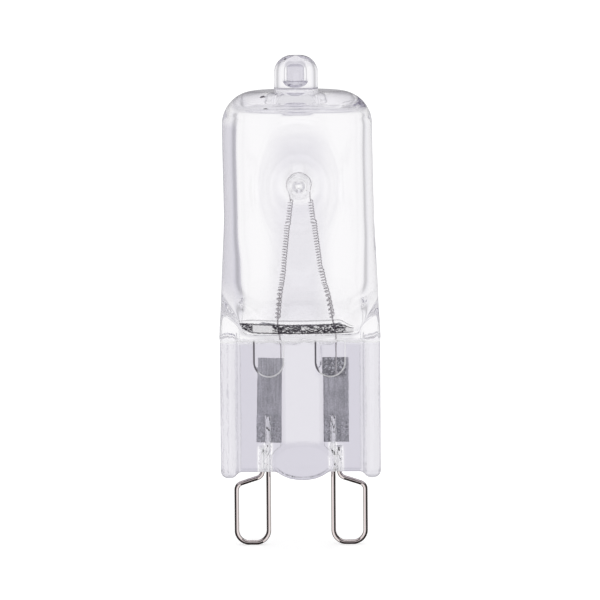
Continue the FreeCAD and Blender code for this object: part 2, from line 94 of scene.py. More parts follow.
# Pinch: web, side ribs, middle boss with its tongue, and a bump over each foil
PINCH_HALF_WIDTH = BULB_RADIUS + FLARE
WEB_HALF_DEPTH, WEB_BOTTOM, WEB_ROUND, WEB_OVERLAP, WEB_INSET = 1.4, 0.5, 0.3, 0.6, 0.5
RIB_WIDTH, RIB_HALF_DEPTH, RIB_TOP, RIB_ROUND = 1.6, 2.3, 17.4, 0.7
RIB_TAPER, RIB_TOP_INSET = 1.55, 0.3
BOSS_X, BOSS_HALF_WIDTH, BOSS_HALF_DEPTH = 0.19, 1.75, 1.6
BOSS_BOTTOM, BOSS_OVERLAP, BOSS_ROUND = 1.0, 0.3, 0.15
TONGUE_HALF_WIDTH, TONGUE_HALF_DEPTH, TONGUE_ROUND = 2.79, 1.75, 0.2
TONGUE_TOP, TONGUE_BOTTOM = 3.1, -0.25
BUMP_SHIFT, BUMP_X, BUMP_HALF_WIDTH, BUMP_LENGTH = -0.05, 2.85, 1.37, 3.3
BUMP_RISE, BUMP_OVERLAP, BUMP_ROUND = 0.1, 0.5, 0.12
BUMP_END_Z = PINCH_TOP - BUMP_LENGTH + BUMP_HALF_WIDTH

# How far two forms run into each other where they meet
RIB_BLEND, BOSS_BLEND, TONGUE_BLEND, BUMP_BLEND = 0.4, 0.4, 0.25, 0.08
PINCH_BLEND, LIP_BLEND, POST_BLEND, CAVITY_BLEND = 0.35, 1.4, 0.5, 1.2

# Glass mesh
GLASS_CELL, GRID_MARGIN = 0.2, 3
LEAST_SLOPE, LEAST_STEEPNESS, SLOPE_STEP = 0.001, 0.05, 0.02
PULL_ROUNDS, PULL_LIMIT, PULL_LIMIT_FAR = 8, 0.1, 1.0
SURFACE_GAP = 0.03

# Inside of the front and back walls, where drawn glass keeps an even thickness
EVEN_RADIUS, EVEN_RADIUS_EDGE = 7.2, 2.4
EVEN_HALF_WIDTH, EVEN_WIDTH_EDGE, EVEN_TOP_EDGE = 3.6, 1.6, 2.0
EVEN_LOW, EVEN_LOW_EDGE = 14.9, 0.8
POST_REACH_Y, POST_REACH, POST_REACH_EDGE = 1.8, 3.2, 0.8

# Pin wires sealed in the glass: X and top of each, and the uneven gap round them
PIN_RADIUS, PIN_Y = 0.215, -0.21
PIN_LEGS = ((-3.015, 5.6), (3.015, 5.6), (-3.58, 2.8), (3.58, 2.8))
CHANNEL_SIDES, CHANNEL_PACE, CHANNEL_LIFT, CHANNEL_END = 20, 0.06, 0.12, 0.15
CHANNEL_GAP, CHANNEL_WOBBLE, CHANNEL_LEAST, CHANNEL_MOST = 0.06, 0.16, -0.04, 0.09
CHANNEL_SEED, CHANNEL_SMOOTHINGS = 5, 2

# Filament: X of each coiled leg at its foot, middle and top, and the plain hook over the post
COIL_RADIUS, COIL_WIRE_RADIUS, COIL_PITCH = 0.265, 0.058, 0.256
COIL_FOOT_Z, COIL_TOP_Z = 15.46, 25.7
COIL_LEGS = ((-1.96, -1.36, -0.8), (2.88, 1.78, 1.09))
COIL_TURN_POINTS, COIL_STEP_START, COIL_STEP_SHARE, COIL_SIDES = 20, 0.55, 0.4, 6
HOOK_GAP, HOOK_POINTS, HOOK_SIDES, HOOK_END_SHARE = 0.03, 40, 8, 0.985
HOOK_START, HOOK_END = math.radians(200), math.radians(-20)
TUBE_SIDEWAYS = (0.3, 1, 0.2)

# Painted shade of the glass by part, kept as a greyish cast, one being clear, and how much of it red,
# green and blue take
CLEAR, WEB_TONE, BOSS_TONE, BUMP_TONE, TONGUE_TONE, RIB_TONE = 1.0, 0.68, 0.79, 0.725, 0.69, 0.84
PRESSED_TONE, DOME_TONE, CEILING_TONE = 0.92, 0.86, 0.55
TIP_TONE, TIP_TOP_TONE, BUBBLE_TONE = 0.99, 0.8, 0.73
# Painted shade in the reflection inside the cavity's wall, darker on the left than on the right
LEFT_ECHO, RIGHT_ECHO = 0.775, 0.97
CAST = np.array([1.02, 1.06, 0.86])

# Where the painted shade lies and how softly it ends
PINCH_TONE_DROP, PINCH_TONE_EDGE, PART_TONE_EDGE = 0.2, 0.5, 0.4
CHANNEL_CLEAR, CHANNEL_CLEAR_EDGE, CHANNEL_CLEAR_TOP, CHANNEL_CLEAR_FADE = 0.42, 0.25, 3.2, 0.6
COLUMN_HALF_WIDTH, COLUMN_EDGE, COLUMN_TOP, COLUMN_TOP_EDGE = 2.2, 2.6, 31.5, 2.0
RING_SQUEEZE, RING_RADIUS, RING_HALF_WIDTH, RING_EDGE, RING_SHARE = 1.42, 5.0, 0.3, 1.2, 0.6
POST_CLEAR, POST_CLEAR_EDGE = 1.32, 0.6
DOME_TONE_LIFT, DOME_TONE_EDGE, CEILING_LINE = 0.2, 0.6, 0.1
TIP_TONE_LIFT, TIP_TONE_EDGE, TIP_TOP_EDGE = 0.3, 0.5, 0.4
ECHO_LOW, ECHO_LOW_EDGE, ECHO_TOP, ECHO_TOP_EDGE = 14.88, 1.5, CEILING - 1.5, 1.0
ECHO_X, ECHO_X_EDGE, ECHO_FADE, ECHO_FADE_Z, ECHO_FADE_EDGE = 3.5, 1.0, 0.6, 17.5, 2.0
BUBBLE_ECHO_TOP, BUBBLE_ECHO_EDGE = BUBBLE_LOW + 0.7, 0.3

# Painted shade of the dark crackled seam where the walls close under the cavity, with pairs for where a
# mark fades in
SEAM_LEFT, SEAM_RIGHT, SEAM_END_EDGE = -5.6, 4.9, 0.2
SEAM_BOTTOM, SEAM_HEIGHT, SEAM_DEPTH, SEAM_SLANT = 13.68, 1.12, 1.4, 0.6
SEAM_CUT, SEAM_CUT_REACH = 0.6, 1.5
SEAM_WINDOW, SEAM_WINDOW_SIDE = -3.35, (0.75, 0.95)
SEAM_FILL_END = (SEAM_RIGHT - 0.5, SEAM_RIGHT - 1.0)
SEAM_GRAIN, SEAM_SWIRL, SEAM_WANDER = (2.1, 2.1, 3.0), 2.0, 0.4
SEAM_LINE_INSIDE, SEAM_LINE_OUTSIDE, SEAM_LINE = (0.66, 0.82), (1.12, 1.0), 0.85
SEAM_VEIL_EDGE, SEAM_VEIL, SEAM_CRACKLE = (1.0, 0.9), 0.25, (0.36, 0.5)
SEAM_ABOVE_LOW, SEAM_ABOVE_HIGH, SEAM_ABOVE = (1.26, 1.33), (1.45, 1.38), 0.4

# Black specks: centre and radius
SPECKS = ((-1.18, -0.97, 38.83, 0.17), (-3.3, -4.15, 35.5, 0.28), (-3.05, -4.3, 35.4, 0.2))
SPECK_CORE = 0.6

# Marks on the pinch: rims of the bumps with a painted highlight and a painted shadow on their left side,
# waves, chips on the left rib, bead along the ledge with a painted highlight
RIM_WIDTH, RIM_RISE, RIM_HIGHLIGHT, RIM_EDGE, RIM_SHADOW_SIDE = 0.06, 0.16, 0.5, (0.11, 0.05), (-0.95, -1.2)
WAVE_GRAIN, WAVE_RISE, RIB_WAVE_RISE, RIB_WAVE_X = (1.1, 1.1, 0.26), 0.35, 0.6, PINCH_HALF_WIDTH - 1
CHIP_GRAIN, CHIP_RISE, CHIPPED_SIDE = (2.6, 2.6, 1.3), 0.9, (-6.5, -6.9)
BEAD_GRAIN, BEAD_WANDER, BEAD_LIFT, BEAD_REACH = (0.7, 0.7, 0), 0.5, 0.02, 0.17
BEAD_RISE, BEAD_HIGHLIGHT = 1.2, 0.8
MARKS_EDGE = 0.2

# Glass material
GLASS_IOR, TOTAL_REFLECTION = 1.458, 0.98
# White of the painted highlights; black of the specks and of the painted shade
HIGHLIGHT_COLOUR, SPECK_AND_SHADE_COLOUR = (0.97, 0.97, 0.98, 1), (0.13, 0.12, 0.14, 1)
SHADOW_COLOUR = (0.93, 0.93, 0.95, 1)

# Tungsten, with its grain in patches to a millimetre
TUNGSTEN_DARK, TUNGSTEN_LIGHT = (0.576, 0.56, 0.568, 1), (0.828, 0.805, 0.8165, 1)
TUNGSTEN_GRAIN, TUNGSTEN_DETAIL = (3, 3, 3), 6.0
TUNGSTEN_ROUGHNESS, TUNGSTEN_BUMP, TUNGSTEN_BUMP_RISE = (0.32, 0.5), 0.1, 0.02

# Foil: rolled grain, clouds, specks at the foot, and the crackled top of the right one
FOIL_DARK, FOIL_LIGHT = (0.3, 0.3, 0.32, 1), (0.91, 0.91, 0.94, 1)
FOIL_GRAIN, FOIL_CLOUD = (9, 9, 0.3), (0.9, 0.9, 0.6)
FOIL_SPECK, FOIL_CRACKLE, FOIL_SWIRL = (9, 9, 7), (2.6, 2.6, 3.2), 2.5
FOIL_GRAIN_SHARE, FOIL_CLOUD_SHARE, FOIL_SPECK_SHARE, FOIL_LEVEL = 0.9, 0.9, 0.7, -0.75
FOIL_FOOT, FOIL_FOOT_CRACKLE = (6.4, 4.6), 0.14
FOIL_TOP, FOIL_TOP_LEFT, FOIL_TOP_RIGHT, FOIL_TOP_CRACKLE = (9.2, 9.7), (0.0, 1.0), (4.3, 4.1), 0.9
CRACKLE_MIDDLE, CRACKLE_CONTRAST = 0.56, 16.0
FOIL_ROUGHNESS, FOIL_BUMP, FOIL_BUMP_RISE = 0.5, 0.3, 0.03

# Pin wire: drawn and bright, crackled where it is sealed in the glass
PIN_DARK, PIN_LIGHT = (0.68, 0.6, 0.58, 1), (0.92, 0.84, 0.83, 1)
BURNT_DARK, BURNT_LIGHT = (0.01, 0.01, 0.012, 1), (1, 1, 1, 1)
PIN_GRAIN, PIN_CRACKLE, PIN_SWIRL, PIN_CRACKS = (6, 6, 0.3), (1.5, 1.5, 1.0), 2.0, (0.38, 0.42)
PIN_SEALED, PIN_ROUGHNESS, SEALED_ROUGHNESS = (0.45, 0.7), 0.05, 0.3
PIN_BUMP, PIN_BUMP_RISE = 0.8, 0.06

# Studio: position and grey level of each stop, round the bulb and upwards
RAMP_TINT = (0.993, 0.985, 1.02)
GLASS_RING = ((0.0, 0.62), (0.02, 0.7), (0.07, 0.86), (0.16, 0.95), (0.3, 1.0))
GLASS_ABOVE = ((0.1, 0.9), (0.3, 0.78), (0.6, 0.8), (0.85, 0.88), (1.0, 1.0))
GLASS_ABOVE_EDGE = (0.04, 0.25)
METAL_RING = ((0.0, 0.95), (0.008, 0.95), (0.02, 0.03), (0.46, 0.02), (0.6, 0.15), (1.0, 0.5))
LAMP_TOP, DARK_ABOVE_LAMP = (0.0, 0.15), (0.05, 0.045, 0.045, 1)
CEILING_EDGE, CEILING_LIGHT = (0.62, 0.9), (0.95, 0.94, 0.96, 1)
TABLE_EDGE, TABLE_DARK = (-0.12, -0.3), (0.03, 0.026, 0.025, 1)
LEAST_LEVEL = 0.0001
WHITE = (1, 1, 1, 1)

# Stage floor in metres, and the white card between the loops in millimetres along Y and Z
STAGE_SIDES, STAGE_REACH, STAGE_COLOUR, STAGE_GLOW = 64, 3.0, (0.8, 0.8, 0.8, 1), 0.35
CARD_FAR, CARD_NEAR, CARD_LOW, CARD_HIGH, CARD_GLOW = -60.0, -0.5, -14.0, -0.4, 0.95


# Implicit shapes: below nought inside, in about millimetres
def smooth_min(a, b, reach):
    overlap = np.maximum(reach - np.abs(a - b), 0) / reach
    return np.minimum(a, b) - overlap * overlap * reach / 4


def smooth_max(a, b, reach):
    return -smooth_min(-a, -b, reach)


def rounded_and(a, b, radius):
    """Where both hold, with the edge between them rounded to a radius."""
    a = a + radius
    b = b + radius
    return np.minimum(np.maximum(a, b), 0) + np.hypot(np.maximum(a, 0), np.maximum(b, 0)) - radius


def slab(value, low, high):
    return np.maximum(low - value, value - high)


def eased(share):
    """Smooth step from nought to one."""
    share = np.clip(share, 0, 1)
    return share * share * (3 - 2 * share)


def near(distance, width):
    """One inside a shape, falling to nought over a width across its edge."""
    return 1 - eased(distance / width + 0.5)


def oval(x, y, half_width, half_depth):
    reach = np.sqrt((x / half_width) ** 2 + (y / half_depth) ** 2)
    slope = np.sqrt((x / half_width ** 2) ** 2 + (y / half_depth ** 2) ** 2)
    return reach * (reach - 1) / np.maximum(slope, LEAST_SLOPE)


def flank_half_width(z):
    flare = np.clip((FLARE_TOP - z) / (FLARE_TOP - PRESS_TOP), 0, 1)
    press = np.clip((PRESS_TOP - z) / (PRESS_TOP - PINCH_TOP), 0, 1)
    return BULB_RADIUS + FLARE * (FLARE_SPLIT * flare + (1 - FLARE_SPLIT) * press)


def ledge_height(x):
    """Wavy lower edge of the bulb, where the pinch begins."""
    return PINCH_TOP + sum(height * np.sin(pace * x + start) for height, pace, start in LEDGE_WAVES)


def bulb_outside(x, y, z):
    press = eased((PRESS_TOP - z) / (PRESS_TOP - PINCH_TOP))
    half_depth = BULB_RADIUS + (FLANK_END_DEPTH - BULB_RADIUS) * press
    bulb = rounded_and(oval(x, y, flank_half_width(z), half_depth), z - DOME_TOP, SHOULDER_RADIUS)
    bulb = rounded_and(bulb, ledge_height(x) - z, LEDGE_ROUND)
    tip = rounded_and(np.hypot(x - TIP_X, y) - TIP_RADIUS, z - TIP_TOP, TIP_ROUND)
    return smooth_min(bulb, np.maximum(tip, DOME_TOP - TIP_RADIUS - z), TIP_NECK)


def pinch_web(side, depth, z):
    web = rounded_and(depth - WEB_HALF_DEPTH, WEB_BOTTOM - z, WEB_ROUND)
    return np.maximum(web, np.maximum(z - PINCH_TOP - WEB_OVERLAP, side - PINCH_HALF_WIDTH + WEB_INSET))


def pinch_rib(side, depth, z):
    upward = eased((z - PINCH_TOP) / (RIB_TOP - PINCH_TOP))
    middle = flank_half_width(z) - RIB_WIDTH / 2 - RIB_TOP_INSET * upward
    half_depth = RIB_HALF_DEPTH - RIB_TAPER * upward
    section = rounded_and(np.abs(side - middle) - RIB_WIDTH / 2, depth - half_depth, RIB_ROUND)
    return np.maximum(rounded_and(section, -z, RIB_ROUND), z - RIB_TOP)


def pinch_boss(side, depth, z):
    boss = np.maximum(side - BOSS_HALF_WIDTH, slab(z, BOSS_BOTTOM, PINCH_TOP + BOSS_OVERLAP))
    return rounded_and(boss, depth - BOSS_HALF_DEPTH, BOSS_ROUND)


def pinch_tongue(side, depth, z):
    middle, half_height = (TONGUE_TOP + TONGUE_BOTTOM) / 2, (TONGUE_TOP - TONGUE_BOTTOM) / 2
    tongue = oval(side, z - middle, TONGUE_HALF_WIDTH, half_height)
    return rounded_and(tongue, depth - TONGUE_HALF_DEPTH, TONGUE_ROUND)


def pinch_bump(side, depth, z):
    across = np.abs(side - BUMP_X)
    outline = np.where(z > BUMP_END_Z, across, np.hypot(across, z - BUMP_END_Z)) - BUMP_HALF_WIDTH
    outline = np.maximum(outline, z - PINCH_TOP - BUMP_OVERLAP)
    return rounded_and(outline, depth - WEB_HALF_DEPTH - BUMP_RISE, BUMP_ROUND)


def pinch_outside(x, y, z):
    side, inner, depth = np.abs(x), np.abs(x - BOSS_X), np.abs(y)
    pinch = smooth_min(pinch_web(side, depth, z), pinch_rib(side, depth, z), RIB_BLEND)
    pinch = smooth_min(pinch, pinch_boss(inner, depth, z), BOSS_BLEND)
    pinch = smooth_min(pinch, pinch_tongue(inner, depth, z), TONGUE_BLEND)
    return smooth_min(pinch, pinch_bump(np.abs(x - BUMP_SHIFT), depth, z), BUMP_BLEND)


def dimple_air(x, y, z):
    """Hollow pressed in from front and back, widening like a horn as drawn glass does."""
    depth = np.abs(y)
    radius = DIMPLE_TIP * np.exp((depth - DIMPLE_FLOOR) / DIMPLE_HORN)
    horn = (np.hypot(x, z - DIMPLE_Z) - radius) / np.hypot(1, radius / DIMPLE_HORN)
    return rounded_and(horn, DIMPLE_FLOOR - depth, DIMPLE_ROUND)


def dimple_glass(x, y, z, dimple):
    """Wall of the dimples inside the cavity, and the post where the two meet."""
    post = np.maximum(np.hypot(x, z - DIMPLE_Z) - POST_RADIUS, np.abs(y) - POST_HALF_LENGTH)
    return smooth_min(dimple - DIMPLE_WALL, post, POST_BLEND)


def cavity_air(x, y, z, dimple):
    share = eased((PRESS_TOP - z) / (PRESS_TOP - FLOOR_Z))
    half_width = CAVITY_RADIUS + (FLOOR_HALF_WIDTH - CAVITY_RADIUS) * share
    half_depth = CAVITY_RADIUS + (FLOOR_HALF_DEPTH - CAVITY_RADIUS) * share
    air = rounded_and(oval(x - CAVITY_SHIFT, y, half_width, half_depth), z - CEILING, CAVITY_CORNER)
    air = rounded_and(air, FLOOR_Z - z, FLOOR_ROUND)
    return smooth_max(air, -dimple_glass(x, y, z, dimple), CAVITY_BLEND)


def bubble_air(x, y, z):
    across = np.hypot(x - BUBBLE_X, y) - BUBBLE_RADIUS
    bubble = rounded_and(across, BUBBLE_LOW - z, BUBBLE_LOW_ROUND)
    return rounded_and(bubble, z - BUBBLE_HIGH, BUBBLE_HIGH_ROUND)


def leaned(z):
    """How far the upper end of the bulb leans to the left."""
    return LEAN * eased((z - LEAN_LOW) / (LEAN_HIGH - LEAN_LOW))


def dimpled_outside(x, y, z):
    return smooth_max(bulb_outside(x - leaned(z), y, z), -dimple_air(x, y, z), LIP_BLEND)


def glass_field(x, y, z):
    lean = leaned(z)
    dimple = dimple_air(x, y, z)
    glass = smooth_min(bulb_outside(x - lean, y, z), pinch_outside(x, y, z), PINCH_BLEND)
    glass = smooth_max(glass, -dimple, LIP_BLEND)
    glass = np.maximum(glass, -cavity_air(x - lean, y, z, dimple))
    return np.maximum(glass, -bubble_air(x - lean, y, z))


def on_cavity_wall(x, y, z):
    return np.abs(cavity_air(x - leaned(z), y, z, dimple_air(x, y, z))) < SURFACE_GAP


def on_bubble(x, y, z):
    return np.abs(bubble_air(x - leaned(z), y, z)) < SURFACE_GAP


# Glass mesh
def unit(vectors):
    return vectors / np.linalg.norm(vectors, axis=1)[:, None]


def field_slope(field, points):
    slopes = []
    for axis in np.eye(3) * SLOPE_STEP:
        slopes.append(field(*(points + axis).T) - field(*(points - axis).T))
    return np.stack(slopes, axis=1) / (2 * SLOPE_STEP)


def pulled(field, points, limit):
    """Points moved onto the surface where a field is nought, by steps up to a limit."""
    for _ in range(PULL_ROUNDS):
        slope = field_slope(field, points)
        push = field(*points.T) / np.maximum((slope ** 2).sum(axis=1), LEAST_STEEPNESS)
        points = points - slope * np.clip(push, -limit, limit)[:, None]
    return points


def even_wall_share(points):
    """One on the inside of the walls that keep an even thickness, nought elsewhere and round the post."""
    x, y, z = points.T
    away = np.hypot(x, z - DIMPLE_Z)
    off_post = np.maximum(
        eased((np.abs(y) - POST_REACH_Y) / POST_REACH_EDGE),
        eased((away - POST_REACH) / POST_REACH_EDGE),
    )
    flank = near(np.abs(x) - EVEN_HALF_WIDTH, EVEN_WIDTH_EDGE) * near(EVEN_LOW - z, EVEN_LOW_EDGE)
    flank = flank * near(z - DIMPLE_Z, EVEN_TOP_EDGE)
    even = np.maximum(near(away - EVEN_RADIUS, EVEN_RADIUS_EDGE), flank)
    return on_cavity_wall(x, y, z) * off_post * even


def glass_surface():
    """Points, quads and normals of the glass, its points pulled onto the exact surface."""
    margin = GRID_MARGIN * GLASS_CELL
    low = np.array([-PINCH_HALF_WIDTH, -BULB_RADIUS, TONGUE_BOTTOM]) - margin
    high = np.array([PINCH_HALF_WIDTH, BULB_RADIUS, TIP_TOP]) + margin
    axes = [np.arange(a, b + GLASS_CELL, GLASS_CELL) for a, b in zip(low, high)]
    x, y, z = np.meshgrid(*axes, indexing="ij", sparse=True)
    grid = openvdb.FloatGrid(1.0)
    grid.copyFromArray(glass_field(x, y, z).astype(np.float32))
    points, _, quads = grid.convertToPolygons(0.0, 0.0)
    points = pulled(glass_field, points.astype(float) * GLASS_CELL + low, PULL_LIMIT)
    normals = unit(field_slope(glass_field, points))
    share = even_wall_share(points)[:, None]
    outside = unit(field_slope(dimpled_outside, pulled(dimpled_outside, points, PULL_LIMIT_FAR)))
    return points, quads, unit(normals * (1 - share) - outside * share)


def channel_radius(rng, rows):
    """Uneven radius of a gap round a pin wire, by row and side."""
    wobble = rng.normal(0, 1, (rows, CHANNEL_SIDES))
    for _ in range(CHANNEL_SMOOTHINGS):
        wobble = (wobble + np.roll(wobble, 1, 1) + np.roll(wobble, -1, 1)) / 3
        wobble[1:-1] = (wobble[:-2] + wobble[1:-1] + wobble[2:]) / 3
    return PIN_RADIUS + CHANNEL_GAP + np.clip(CHANNEL_WOBBLE * wobble, CHANNEL_LEAST, CHANNEL_MOST)


def wire_channel(rng, x, top):
    """Points and faces of the gap that the glass leaves round a pin wire, facing inwards."""
    low = WEB_BOTTOM + CHANNEL_LIFT
    heights = np.arange(low, top + CHANNEL_END, CHANNEL_PACE)
    angles = np.arange(CHANNEL_SIDES) * 2 * math.pi / CHANNEL_SIDES
    radius = channel_radius(rng, len(heights))
    level = np.repeat(heights[:, None], CHANNEL_SIDES, axis=1)
    rings = np.stack([x + radius * np.cos(angles), PIN_Y + radius * np.sin(angles), level], axis=2)
    ends = np.array([[x, PIN_Y, heights[0]], [x, PIN_Y, heights[-1]]])
    faces = []
    last = len(heights) * CHANNEL_SIDES
    for side in range(CHANNEL_SIDES):
        after = (side + 1) % CHANNEL_SIDES
        for start in range(0, last - CHANNEL_SIDES, CHANNEL_SIDES):
            above = start + CHANNEL_SIDES
            faces.append([start + side, above + side, above + after, start + after])
        faces.append([last, side, after])
        faces.append([last + 1, last - CHANNEL_SIDES + after, last - CHANNEL_SIDES + side])
    return np.concatenate([rings.reshape(-1, 3), ends]), faces


def joined(blocks):
    """Points and faces of several blocks as one."""
    points, faces = [], []
    start = 0
    for block_points, block_faces in blocks:
        points.append(block_points)
        faces += [[index + start for index in face] for face in block_faces]
        start += len(block_points)
    return np.concatenate(points), faces


def new_mesh(name, points, faces):
    mesh = bpy.data.meshes.new(name)
    mesh.from_pydata((points * MM).tolist(), [], faces)
    mesh.shade_smooth()
    return mesh


def glass_mesh():
    points, quads, normals = glass_surface()
    rng = np.random.default_rng(CHANNEL_SEED)
    channel_points, channel_faces = joined([wire_channel(rng, x, top) for x, top in PIN_LEGS])
    every, faces = joined([(points, quads.tolist()), (channel_points, channel_faces)])
    mesh = new_mesh("glass_envelope_clear", every, faces)
    plain = np.zeros((len(channel_points), 3))
    mesh.normals_split_custom_set_from_vertices(np.concatenate([normals, plain]).tolist())
    # Painted shade kept on the points: in the light through the glass, and in its inside reflection
    for name, level in (("tone", glass_painted_shade(points)), ("reflection_shade", wall_reflection_shade(points))):
        level = np.concatenate([level, np.ones(len(channel_points))])
        colours = np.ones((len(every), 4))
        colours[:, :3] -= np.outer(1 - level, CAST)
        attribute = mesh.attributes.new(name, "FLOAT_COLOR", "POINT")
        attribute.data.foreach_set("color", colours.astype(np.float32).ravel())
    return mesh


# Painted shade of the glass as a cast, kept on the mesh's points
def toned(tone, level, share):
    return tone + (level - tone) * share


# Painted shade of the pinch: each part its own grey, clear round the wires
def pinch_painted_shade(x, z):
    side, inner = np.abs(x), np.abs(x - BOSS_X)
    pinched = near(z - PINCH_TOP + PINCH_TONE_DROP, PINCH_TONE_EDGE)
    tone = toned(np.full(len(x), CLEAR), WEB_TONE, pinched)
    parts = (
        (inner - BOSS_HALF_WIDTH, BOSS_TONE),
        (np.maximum(np.abs(side - BUMP_X) - BUMP_HALF_WIDTH, PINCH_TOP - BUMP_LENGTH - z), BUMP_TONE),
        (np.maximum(inner - TONGUE_HALF_WIDTH, z - TONGUE_TOP), TONGUE_TONE),
        (PINCH_HALF_WIDTH - RIB_WIDTH - side, RIB_TONE),
    )
    for distance, level in parts:
        tone = toned(tone, level, near(distance, PART_TONE_EDGE) * pinched)
    for leg_x, top in PIN_LEGS:
        round_wire = near(np.abs(x - leg_x) - CHANNEL_CLEAR, CHANNEL_CLEAR_EDGE)
        tone = toned(tone, CLEAR, round_wire * near(z - min(top, CHANNEL_CLEAR_TOP), CHANNEL_CLEAR_FADE))
    return tone


def bulb_painted_shade(x, y, z, tone):
    """Painted shade in the dimples' middle and rim, on the dome, and as a dark line round the cavity's
    ceiling.
    """
    column = near(np.abs(x) - COLUMN_HALF_WIDTH, COLUMN_EDGE) * near(z - COLUMN_TOP, COLUMN_TOP_EDGE)
    column = column * near(EVEN_LOW - z, EVEN_LOW_EDGE)
    rim = np.abs(np.hypot(RING_SQUEEZE * x, z - DIMPLE_Z) - RING_RADIUS) - RING_HALF_WIDTH
    pressed = np.maximum(column, RING_SHARE * near(rim, RING_EDGE))
    off_post = eased((np.hypot(x, z - DIMPLE_Z) - POST_CLEAR) / POST_CLEAR_EDGE)
    tone = toned(tone, PRESSED_TONE, pressed * off_post)
    tone = toned(tone, DOME_TONE, near(CEILING + DOME_TONE_LIFT - z, DOME_TONE_EDGE))
    line = on_cavity_wall(x, y, z) * near(CEILING - CEILING_LINE - z, CEILING_LINE)
    return toned(tone, CEILING_TONE, line)


# Painted shade of the tip, its top and the bubble in it
def tip_painted_shade(x, y, z, tone):
    tone = toned(tone, TIP_TONE, near(DOME_TOP + TIP_TONE_LIFT - z, TIP_TONE_EDGE))
    tone = toned(tone, TIP_TOP_TONE, near(BUBBLE_HIGH - z, TIP_TOP_EDGE))
    return np.where(on_bubble(x, y, z), BUBBLE_TONE, tone)


def glass_painted_shade(points):
    """Share of light that the glass lets through at each point, with painted shade by part."""
    x, y, z = points.T
    return tip_painted_shade(x, y, z, bulb_painted_shade(x, y, z, pinch_painted_shade(x, z)))


def wall_reflection_shade(points):
    """Share of light that the reflection inside the cavity's wall and the bubble keeps: painted shade,
    darker on the left.
    """
    x, y, z = points.T
    upright = near(ECHO_LOW - z, ECHO_LOW_EDGE) * near(z - ECHO_TOP, ECHO_TOP_EDGE)
    upright = upright * eased((np.abs(x) - ECHO_X) / ECHO_X_EDGE)
    level = np.where(x < 0, LEFT_ECHO, RIGHT_ECHO)
    level = toned(level, CLEAR, ECHO_FADE * near(z - ECHO_FADE_Z, ECHO_FADE_EDGE))
    wall = (1 - level) * on_cavity_wall(x, y, z) * upright
    bubble = (1 - BUBBLE_TONE) * on_bubble(x, y, z) * near(z - BUBBLE_ECHO_TOP, BUBBLE_ECHO_EDGE)
    return 1 - wall - bubble


# Filament, as tubes along curves
def tube(path, radius, sides):
    """Points and faces of a round tube along a path of points, its ends closed."""
    path = np.asarray(path)
    along = unit(np.gradient(path, axis=0))
    across = np.cross(along[0], TUBE_SIDEWAYS)
    points = []
    for here, forward in zip(path, along):
        across = across - forward * (across @ forward)
        across /= np.linalg.norm(across)
        other = np.cross(forward, across)
        for angle in np.arange(sides) * 2 * math.pi / sides:
            points.append(here + radius * (across * math.cos(angle) + other * math.sin(angle)))
    faces = []
    for row in range(len(path) - 1):
        for side in range(sides):
            a, b = row * sides + side, row * sides + (side + 1) % sides
            faces.append([a, b, b + sides, a + sides])
    faces.append(list(range(sides))[::-1])
    faces.append([len(points) - sides + side for side in range(sides)])
    return np.array(points), faces


def coil_axis(leg, share):
    """Point on a leg's axis: a parabola through its foot, middle and top."""
    foot, middle, top = leg
    bend = 4 * (middle - (foot + top) / 2)
    x = foot + (top - foot) * share + bend * share * (1 - share)
    return np.stack([x, np.zeros_like(x), COIL_FOOT_Z + (COIL_TOP_Z - COIL_FOOT_Z) * share], axis=-1)


def coil_path(leg):
    """Wire of a coiled leg: each turn lies nearly flat and steps up to the next one at its side."""
    turns = (COIL_TOP_Z - COIL_FOOT_Z) / COIL_PITCH
    turn = np.linspace(0, turns, int(turns * COIL_TURN_POINTS))
    climb = np.floor(turn) + eased((turn % 1 - COIL_STEP_START) / COIL_STEP_SHARE)
    along = unit(np.gradient(coil_axis(leg, turn / turns), axis=0))
    other = np.cross(along, [0, 1, 0])
    angle = (2 * math.pi * turn)[:, None]
    round_axis = np.cos(angle) * [0, 1, 0] + np.sin(angle) * other
    return coil_axis(leg, np.clip(climb / turns, 0, 1)) + (COIL_RADIUS - COIL_WIRE_RADIUS) * round_axis


def hook_path():
    """Plain wire from the top of one coil over the post to the other."""
    radius = POST_RADIUS + COIL_WIRE_RADIUS + HOOK_GAP
    turn = np.linspace(HOOK_START, HOOK_END, HOOK_POINTS)
    arc = np.stack([radius * np.cos(turn), 0 * turn, DIMPLE_Z + radius * np.sin(turn)], axis=1)
    left, right = [coil_axis(leg, np.array([HOOK_END_SHARE])) for leg in COIL_LEGS]
    return np.concatenate([left, arc, right])


def filament_mesh():
    tubes = [tube(coil_path(leg), COIL_WIRE_RADIUS, COIL_SIDES) for leg in COIL_LEGS]
    tubes.append(tube(hook_path(), COIL_WIRE_RADIUS, HOOK_SIDES))
    return new_mesh("filament_coils", *joined(tubes))


